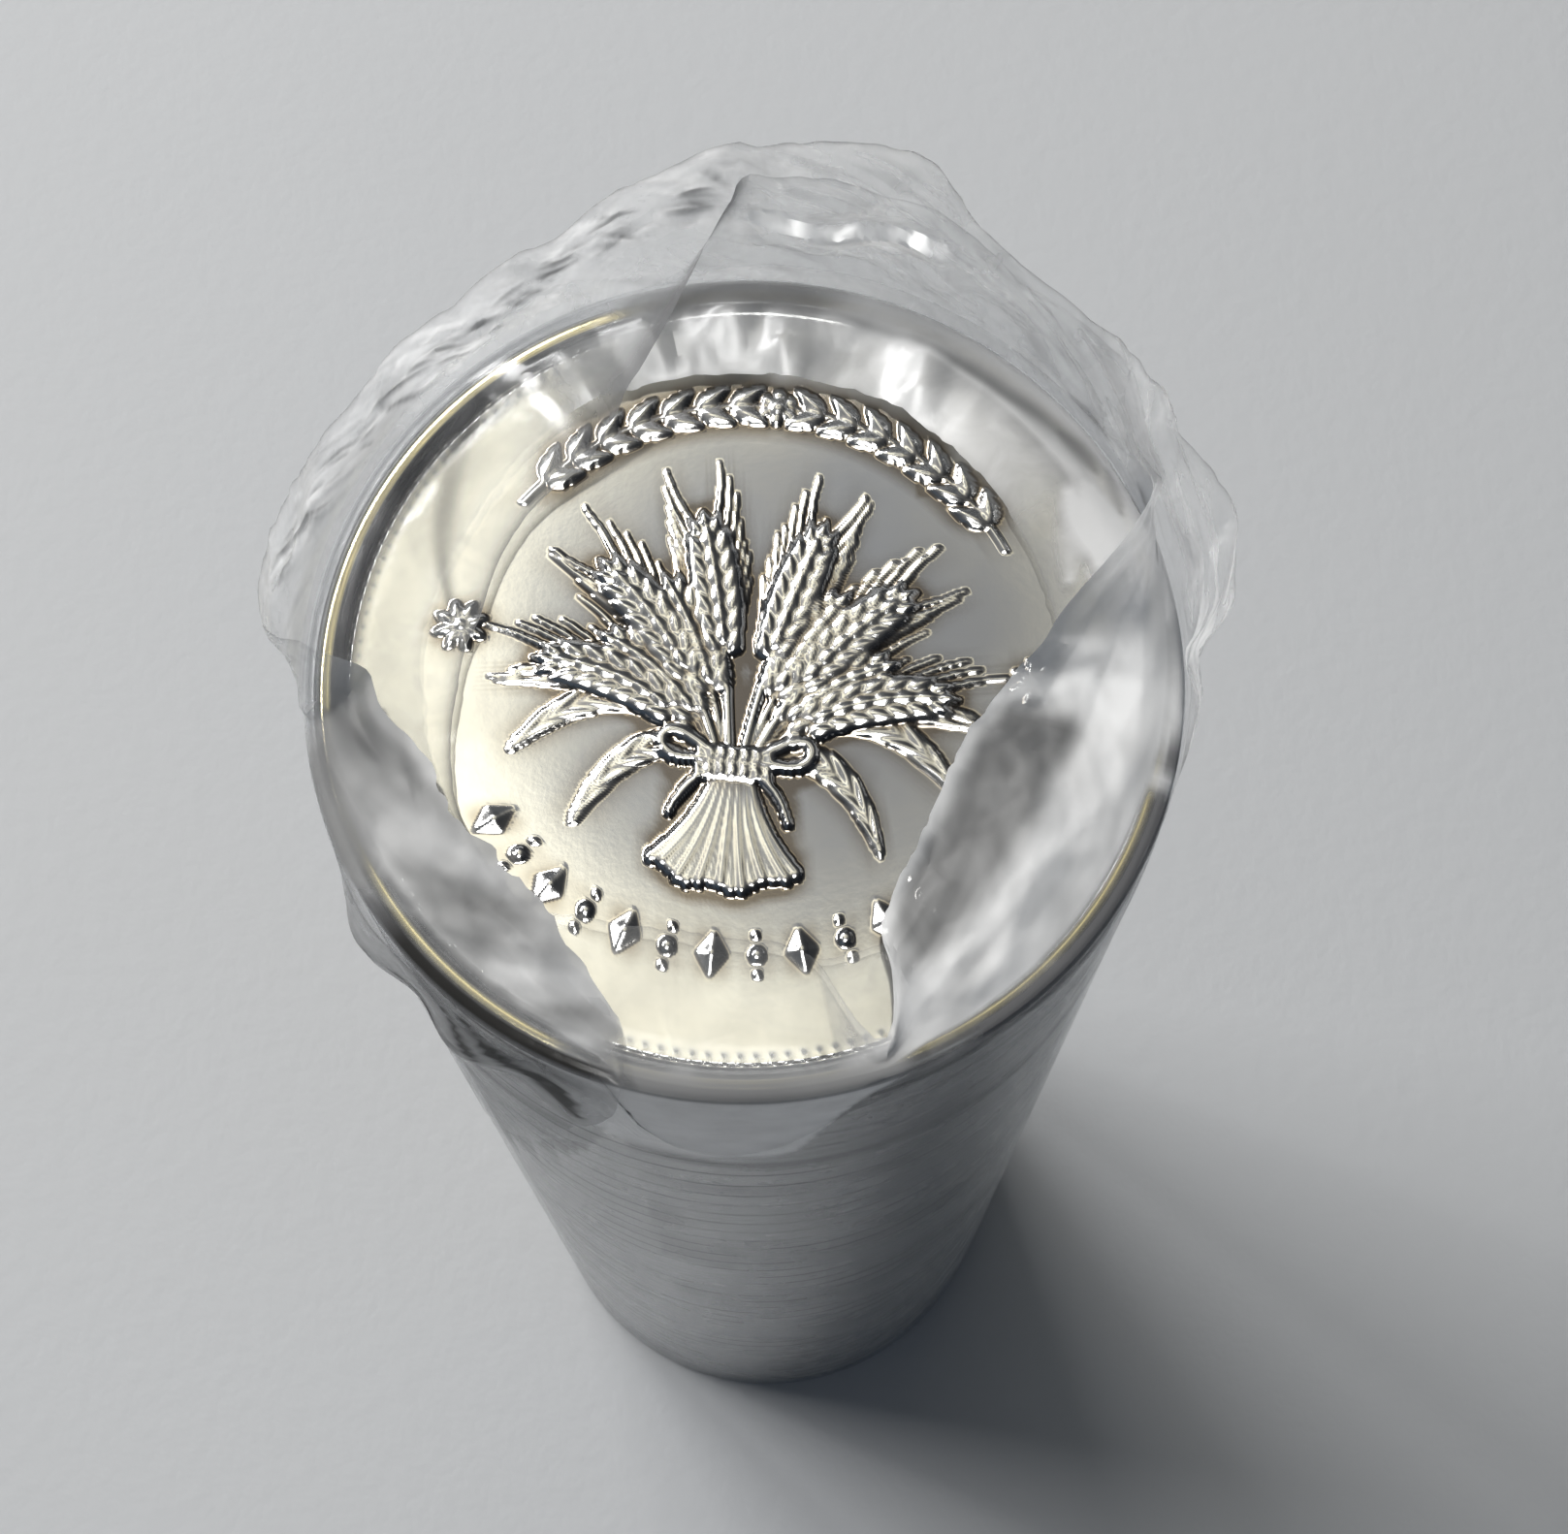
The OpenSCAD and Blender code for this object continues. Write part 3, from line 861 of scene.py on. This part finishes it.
# the side: tight below, with slack and level wrinkles under the top rim
side = (zone == 1)[:, None] * smooth(-70.5, -68, D)
slack = np.exp(-((D + 2.5) / 2.6) ** 2)
push += side * np.abs(creases(A * 0.35, D, 108, [(1.9, 0.05, 88, 6), (0.9, 0.02, 84, 10)])) * (0.25 + slack) * smooth(0.0, -0.4, D) * (0.3 + 0.35 * L)
loose = between(C3 + 196, C3 + 262, 12) * side
push += loose * (0.55 * np.exp(-((D + 2.8) / 2.0) ** 2) * (0.6 + 0.4 * np.sin(A * 1.6)) + 0.10 * np.abs(creases(A, D, 119, [(2.5, 1.0, 70, 15)])) * np.exp(-((D + 3) / 3.5) ** 2))
before = P.copy()
P = P + normal * push[..., None]
under = (zone == 0)[:, None]
P[..., 2] += under * 0.012 * creases(A, D, 130, [(1.8, 1.0, 5, 10)])

# nothing reaches into the stack
r_now = np.hypot(P[..., 0], P[..., 1])
inside = (zone >= 1.5)[:, None] & ((np.hypot(before[..., 0], before[..., 1]) < 10.62) | (before[..., 2] > ZT + 0.03))
low_lim = ZT + 0.045 + 0.03 * L
lifted = low_lim + 0.05 * np.logaddexp(0, (P[..., 2] - low_lim) / 0.05)
P[..., 2] = np.where(inside & (r_now < 10.68), lifted, P[..., 2])
wall = ~inside & (zone >= 1)[:, None]
grow = np.where(wall, np.maximum(1, (10.645 + 0.02 * L) / np.maximum(r_now, 1e-6)), 1)
P[..., :2] *= grow[..., None]
P[..., 2] = np.where(under, np.clip(P[..., 2], 0.012, 0.185), P[..., 2])

# clearness: how milky the film is, how grey its milkiness, and how near the cut edge; in places the grey and the dark
# lines below are painted light and shade


def along_line(t0, d0, t1, d1, width):
    """1 on a straight line over the sheet, from one place and height to another, fading off it."""
    a0, a1 = math.radians(t0) * 10.7, math.radians(t1) * 10.7
    da, dd = a1 - a0, d1 - d0
    q = np.clip(((A - a0) * da + (D - d0) * dd) / (da * da + dd * dd), 0, 1)
    w = width * (0.35 + 0.65 * np.sin(np.pi * np.clip(q, 0.02, 0.98)))
    return np.exp(-((A - a0 - q * da) ** 2 + (D - d0 - q * dd) ** 2) / w**2)


from_edge = (1 - U) * np.broadcast_to(run, U.shape)
free = (zone == 2)[:, None] * 1.0
mott = 0.5 + 0.5 * Noise(140)(A / 1.1, D / 1.1)
lump = smooth(-0.1, 0.7, Noise(143)((A + 0.3 * D) / 1.3, (D - 0.3 * A) / 0.75))
fleck = Noise(142)((A + 0.4 * D) / 0.9, (D - 0.4 * A) / 0.28)
streak = 0.5 + 0.5 * Noise(141)((A + 0.5 * D) / 4.2, (D - 0.42 * A) / 0.85)
haze = 0.085 - 0.03 * (zone >= 1.5)[:, None] + 0 * D
tone = 0.88 + 0 * D
flap = np.clip(right_flap * smooth(0.045, 0.10, U) + left_flap * smooth(0.10, 0.34, U) * smooth(C3 + 183, C3 + 190, T) * (1 - smooth(END - 8, END - 1, T)), 0, 1)
haze += flap * (0.87 + 0.08 * mott)
tone += flap * (0.36 + 0.54 * smooth(0.12, 0.92, streak) - 0.88)
# a grey hollow runs along the inner part of the right flap: its tone is painted dark as painted shade, with a painted
# highlight along the ridge beside it
hollow = np.interp(T - B, [-70, -61, -46, -26, -9, 4], [2.4, 2.66, 3.19, 3.34, 2.9, 2.4])
hollow_shade = smooth(hollow - 0.75, hollow + 0.05, D) * (1 - smooth(B - 16, B - 5, T)) * smooth(B - 70, B - 60, T)
ridge = np.exp(-(((D - hollow + 1.25) / 0.75) ** 2)) * (0.35 + 0.65 * lump)
tone += right_flap * flap * (0.80 + 0.24 * (streak - 0.5) * (1 - 0.65 * hollow_shade) + 0.24 * ridge - (0.585 - 0.06 * lump) * hollow_shade - tone)
# painted light: where the flap climbs to the collar its tone is raised near white, against the shade that falls on the
# steep film
rising = right_flap * smooth(B - 4, B + 8, T)  # where the flap climbs to the collar
climb = right_flap * between(B - 11, B + 9, 5) * smooth(0.9, 1.6, D)
tone += climb * (0.99 + 0.06 * (streak - 0.5) - tone)
tone += 0.09 * flap * fleck * (1 - 0.65 * hollow_shade)
haze -= rising * flap * (0.50 - 0.25 * climb)
tone += rising * (0.95 + 0.04 * climb - tone)
lip = np.exp(-((from_edge / 0.34) ** 2)) * free * right_flap
haze += 0.2 * lip
tone += lip * (0.92 - tone)
back_a = part_a * top * between(42, 116, 12) * smooth(0.12, 0.42, U)
haze += part_a * top * 0.03 + 0.62 * back_a
tone += back_a * (0.97 - tone)
# milky where the turns crowd over the rim on the right
crowd = between(B - 15, B + 24, 4) * (zone >= 1)[:, None] * smooth(-1.7, -0.5, D) * (1 - smooth(0.05, 0.40, U)) * (T < C3)
haze += 0.70 * crowd
tone += crowd * (0.92 - tone)
crowd_a = between(-15, 27, 3.5) * part_a * top * (1 - smooth(1.3, 2.2, D)) * (0.75 + 0.25 * mott)
haze += 0.85 * crowd_a
tone += crowd_a * (0.80 + 0.20 * mott - tone)
# painted highlights: bright folds lying over the coin just inside the rim there, painted white
fold_glint = 0.8 * along_line(27.4, 1.58, 13.8, 2.50, 0.46) + 0.7 * along_line(26.4, 1.1, 14.8, 1.73, 0.50)
fold_glint += 0.8 * along_line(7.0, 0.9, 0.0, 1.0, 0.46) + 0.8 * along_line(-2.0, 1.1, -8.0, 1.5, 0.42)
fold_glint = np.clip(fold_glint, 0, 1) * part_a * top
haze += 0.62 * fold_glint
tone += fold_glint * (1.0 - tone)
haze += 0.30 * between(B + 24, B + 96, 4) * (zone >= 1.5)[:, None] * (D < 0.75)
# the folded turns lie milky over the rim at the back, their tone painted dark grey as a painted dark reflection of the
# rim; on the right they lie white over it, but for a painted dark line along its inner slope
slope = np.interp(T, [26, 31, 40, 46, 53, 70], [0.45, 0.60, 0.82, 1.0, 1.02, 1.1])
slope = np.exp(-(((D - slope) / (0.26 - 0.12 * smooth(52, 58, T))) ** 2)) * (1 - 0.5 * smooth(52, 58, T))
pale = 1 - smooth(68, 78, T)
veil = between(28, 106, 4) * part_a * top * smooth(0.0, 0.2, D) * (1 - smooth(0.85 + 0.2 * pale, 1.25 + 0.2 * pale, D))
haze += (0.74 + 0.08 * pale) * veil
tone += veil * (0.47 + pale * (0.42 - 0.46 * slope) - tone)
side_a = part_a * top * between(28, 44, 6) * smooth(0.8, 1.3, D)
haze += 0.38 * side_a
tone += side_a * (1 - veil) * (0.95 - tone)
shut = between(C3 + 187, C3 + 208, 4) * (zone >= 1.5)[:, None] * (1 - smooth(0.9, 1.6, D))
haze += 0.80 * shut
tone += shut * (0.41 + 0.16 * (mott - 0.5) - tone)
# and in front, where they hang over it and down the side: the tone is painted lighter where the film hangs down the
# side and darker where it lies over the top, painted light and shade
low = np.interp(T, [232, 239, 250, 263, 274, 281, 288, 294], [-3, -6, -7.6, -7.6, -6.8, -2.1, 0.4, 1.2])
low = low + 0.55 * Noise(154)(A / 1.1, 0 * A + 2.2)
front = between(242, 287, 4) * (zone >= 1)[:, None] * smooth(low - 0.3, low + 0.4, D) * (1 - smooth(0.55, 1.15, D))
haze += 0.84 * front * (0.85 + 0.15 * mott + 0.15 * smooth(0.0, 0.3, D))
tone += front * (0.97 - 0.50 * smooth(-0.3, 0.3, D) + 0.12 * (mott - 0.5) - tone)
# the bunched tip of the taut flap
tip = np.exp(-(((T - B - 126) / 9) ** 2)) * smooth(0.45, 0.8, U) * top
haze += 0.34 * tip
tone += tip * (0.50 - tone)
tone += collar * (0.96 - tone)
fibre = Noise(150)((0.88 * A + 0.47 * D) / 1.7, (0.88 * D - 0.47 * A) / 0.30)
wisp = Noise(151)((0.94 * A + 0.34 * D) / 3.4, (0.94 * D - 0.34 * A) / 0.80)
fibre = smooth(0.05, 0.75, 0.6 * fibre + 0.7 * wisp)
thin = between(C3 - 20, C3 + 86, 10)  # the collar is clearer at the back and on the right
haze += collar * ((0.20 + 0.16 * U**1.5) * (1 - 0.62 * thin) + 0.5 * np.clip(speck, 0, 1) + 0.50 * fibre * smooth(0.02, 0.25, U)) + back_wall * 0.05 * mott + left_clear * 0.02
dim = collar * between(C3 + 138, C3 + 184, 6) * (1 - smooth(1.0, 2.4, D))
haze += 0.16 * dim
tone += dim * (0.50 - tone)
haze += 0.13 * np.clip(stress, 0, 1.5) * top
loose_c = between(C3 + 200, C3 + 262, 10) * (zone == 1)[:, None]
haze += loose_c * 0.38 * np.exp(-((D + 2.2) / 2.4) ** 2)
tone += loose_c * (0.40 - tone)
far = smooth(C3 + 25, C3 + 60, T)  # the lamps are beyond the collar there, and this side of it on the right
through = np.clip(0.30 + (0.66 * far - 0.18 * (1 - far)) * collar + 0.42 * taut + 0.58 * back_wall - 0.16 * back_a + 0.25 * rising - 0.18 * right_flap * (1 - rising) - 0.50 * climb, 0, 1)
outer_b = 1 - part_a * smooth(100, 112, T) * (1 - smooth(225, 235, T))
# painted dark line along the cut edges, standing in for the dark refraction at the edge
rim = np.exp(-from_edge / (0.09 + 0.08 * left_clear)) * free * (0.5 + 0.5 * taut + 0.7 * left_clear + 0.3 * collar) * (1 - right_flap) * (1 - left_flap) * outer_b
# darker along the taut flap's edge
streaks_and_shade = 0.80 * taut * np.exp(-((from_edge / 0.80) ** 2)) * (1 - smooth(B + 112, B + 131, T))
# painted shade along the short creases of the collar, and dark streaks that vary at random
streaks_and_shade += 0.60 * collar * np.clip(dash, 0, 1)
streaks_and_shade += 0.16 * collar * smooth(0.25, 0.8, -Noise(152)((0.88 * A + 0.47 * D) / 1.5, (0.88 * D - 0.47 * A) / 0.26))
# a painted dark line along a crease on the left
streaks_and_shade += 0.40 * left_clear * along_line(B + 126, 0.6, B + 167, 3.7, 0.22)
# painted shade: folds of slack film seen edge on, below the rim in front on the left, painted as dark slivers
fold = along_line(C3 + 229.5, -0.1, C3 + 240, -2.0, 0.34) + along_line(C3 + 236.5, -1.4, C3 + 249.5, -2.4, 0.72)
fold = fold * (0.55 + 0.45 * smooth(-0.6, 0.3, Noise(153)((A + 0.8 * D) / 2.6, (D - 0.3 * A) / 0.16)))
fold += along_line(C3 + 226.5, -0.75, C3 + 234.5, -2.4, 0.26) + 0.6 * along_line(C3 + 217, -2.4, C3 + 231, -4.0, 0.55)
fold = smooth(0.28, 0.62, fold) * (T > C3)
streaks_and_shade += 0.88 * fold + 0.5 * (T > C3) * along_line(C3 + 206, -0.55, C3 + 248, -0.9, 0.26)
# painted shade: the shadowed edge of the top coin, painted dark on the film where a single turn covers it on the right
streaks_and_shade += 0.6 * (zone == 1)[:, None] * between(B - 60, B - 17, 8) * smooth(-1.25, -0.95, D) * smooth(0.1, -0.15, D)
# painted dark reflection: the rounded outer corner of the rim is painted dark on the bend in the film
bend = (zone == 1.5)[:, None] * 1.0
streaks_and_shade += bend * (0.88 * between(B - 62, B - 13, 3) + 0.85 * between(B + 196, B + 249, 4) + 0.45 * between(244, 292, 3))
# painted dark reflection of the rim's slope in front, on the film that lies over it
streaks_and_shade += 0.34 * (zone == 2)[:, None] * between(244, 290, 3) * (1 - smooth(0.30, 0.80, D))
# painted dark reflection: a band just outside the gold line on the left, in the darkest colour
deep_shade = (zone >= 1.5)[:, None] * between(C3 + 214, C3 + 250, 5) * smooth(0.22, 0.34, D) * (1 - smooth(0.60, 0.70, D))
streaks_and_shade += 0.86 * deep_shade
deep_shade = np.clip(deep_shade + 0.75 * fold, 0, 1)
gap = np.exp(-(((T - B + 19) / 1.7) ** 2)) * (zone >= 1)[:, None] * smooth(-1.2, -0.8, D) * (1 - smooth(0.7, 1.0, D))
haze += 0.75 * gap
streaks_and_shade *= 1 - 0.9 * gap
# painted dark lines for the rim's dark slope and for folds, seen through the crowded turns on the right
streaks_and_shade += 0.55 * (T < C3) * (T > B - 100) * (along_line(B + 30, 0.9, B + 38, 0.8, 0.20) + along_line(B + 12, 1.0, B + 22, 0.9, 0.24))
streaks_and_shade += 0.5 * part_a * (along_line(36, 0.75, 28, 0.65, 0.24) + along_line(27.5, 0.4, 21, 0.65, 0.20))
# painted dark reflection of the rim's inner slope at the back
streaks_and_shade += 0.42 * part_a * top * smooth(0.2, 0.4, D) * (1 - smooth(1.0, 1.25, D)) * (between(76, 102, 5) + 0.6 * between(40, 55, 3) * slope)
# painted dark reflection of the inner slope of the rim on the left
streaks_and_shade += 0.62 * left_clear * (zone == 2)[:, None] * np.exp(-(((D - 1.20) / 0.17) ** 2)) * between(B + 132, B + 192, 4)
# painted shade in the level wrinkles down the side
for at, wide, dark in ((-8.0, 0.7, 0.34), (-12.1, 0.6, 0.18), (-17.6, 1.0, 0.24), (-26.3, 1.4, 0.16), (-38.0, 2.0, 0.12)):
    wave = at + 0.5 * np.sin(A * 0.31 + at) + 0.25 * np.sin(A * 0.83 - at)
    streaks_and_shade += dark * (zone == 1)[:, None] * (T > END - 362) * np.exp(-(((D - wave) / wide) ** 2))
streaks_and_shade = np.clip(streaks_and_shade, 0, 0.9)
# shine: only the outermost turn is glossy on the side, and the tight bend over the rim is dull
sheen = np.where((zone == 1)[:, None] & (D < -0.6) & (T < END - 362 - 62 * smooth(-1.0, -46.0, D)), 0.2, np.where((zone == 1)[:, None], 0.62, 1.0))
sheen = np.where((zone == 1.5)[:, None] | ((zone == 1)[:, None] & (D >= -0.6)) | ((zone == 2)[:, None] & (from_edge > 0.6) & (D < 1.25) & (right_flap + left_flap + left_clear + part_a > 0.5)), 0.35, sheen)
sheen = np.where((left_clear > 0.5) & (D < 1.7), 0.12, sheen)
sheen = np.where((zone == 2)[:, None] & (T > 230) & (T < 293), 0.22, sheen)
silk = back_wall * np.exp(-(((D - ledge) / 0.60) ** 2)) * between(B + 58, B + 87, 3)
sheen = sheen * (1 - 0.5 * loose_c) * (1 - front) + 1.5 * front * (D < 0.1) + 4.6 * back_a + 4.2 * silk * smooth(-0.35, 0.5, Noise(79)(A / 1.5, D / 0.28))
sheen = sheen * (1 - 0.8 * np.clip(streaks_and_shade, 0, 1))

rows_n, cols_n = D.shape
idx = np.arange(rows_n * cols_n).reshape(rows_n, cols_n)
quads = np.stack([idx[:-1, :-1], idx[:-1, 1:], idx[1:, 1:], idx[1:, :-1]], -1).reshape(-1, 4)
uv = np.stack([A.ravel() / 200, (D.ravel() + 90) / 200], 1)
film = new_mesh(
    "film_sheet", P.reshape(-1, 3), quads.tolist(), uv=uv,
    attrs={"haze": np.clip(haze, 0, 0.95).ravel(), "cut": rim.ravel(), "thru": through.ravel(), "streaks_and_shade": streaks_and_shade.ravel(), "tone": tone.ravel(), "sheen": sheen.ravel(), "silk": silk.ravel(), "deep_shade": deep_shade.ravel()},
)
film.data.set_sharp_from_angle(angle=math.radians(24))
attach(film, "wrap")
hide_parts("wrap_sleeve", "bottom_fold", "top_fold", "top_collar")

fl = Mat("film_clear")
co = fl.coords()
fine = fl.noise(co, 2600.0, 3.0, 0.6)
mid = fl.noise(co, 700.0, 3.0, 0.55, distort=0.8)
nrm = fl.bump(mid, 0.10, 0.00012)
nrm = fl.bump(fine, 0.06, 0.00004, nrm)
milk = fl.math("MULTIPLY", fl.math("SUBTRACT", 1.0, fl.attr("haze")), fl.span(mid, 0.3, 0.7, -0.5, 0.5))
milk = fl.math("MULTIPLY", fl.attr("haze"), fl.math("ADD", 1.0, milk), clamp=True)
# the painted dark, mixed in as a dark sheet: cut-edge lines, random streaks, and painted shade and dark reflections
edge_f = fl.math("MAXIMUM", fl.math("MULTIPLY", fl.attr("cut"), 0.60), fl.attr("streaks_and_shade"), clamp=True)
clear = fl.n("ShaderNodeBsdfTransparent", {"Color": (0.968, 0.971, 0.974, 1)}).outputs[0]
grey = fl.mix(fl.attr("tone"), (0, 0, 0), (1, 1, 1))
dif = fl.n("ShaderNodeBsdfDiffuse", {"Color": grey, "Normal": nrm}).outputs[0]
thru = fl.n("ShaderNodeBsdfTranslucent", {"Color": grey, "Normal": nrm}).outputs[0]
white = fl.n("ShaderNodeMixShader", {0: fl.attr("thru"), 1: dif, 2: thru}).outputs[0]
body = fl.n("ShaderNodeMixShader", {0: milk, 1: clear, 2: white}).outputs[0]
painted_dark = fl.n("ShaderNodeBsdfDiffuse", {"Color": fl.mix(fl.attr("deep_shade"), (0.17, 0.17, 0.174), (0.030, 0.029, 0.027)), "Normal": nrm}).outputs[0]
body = fl.n("ShaderNodeMixShader", {0: edge_f, 1: body, 2: painted_dark}).outputs[0]
facing = fl.n("ShaderNodeLayerWeight", {"Blend": 0.5, "Normal": nrm}).outputs["Facing"]
shine = fl.math("ADD", 0.07, fl.math("MULTIPLY", fl.math("POWER", facing, 5.0), 0.75), clamp=True)
shine = fl.math("MULTIPLY", shine, fl.math("SUBTRACT", 1.0, fl.math("MULTIPLY", fl.attr("haze"), 0.6)), clamp=True)
shine = fl.math("MULTIPLY", shine, fl.attr("sheen"), clamp=True)
rough = fl.math("ADD", fl.span(mid, 0.3, 0.7, 0.08, 0.15), fl.math("MULTIPLY", fl.attr("haze"), 0.45))
rough = fl.math("ADD", rough, fl.math("MULTIPLY", fl.attr("silk"), 0.20))
gloss = fl.n("ShaderNodeBsdfGlossy", {"Color": (1, 1, 1, 1), "Roughness": rough, "Normal": nrm}).outputs[0]
fl.surface(fl.n("ShaderNodeMixShader", {0: shine, 1: body, 2: gloss}).outputs[0])
film.data.materials.append(fl.m)
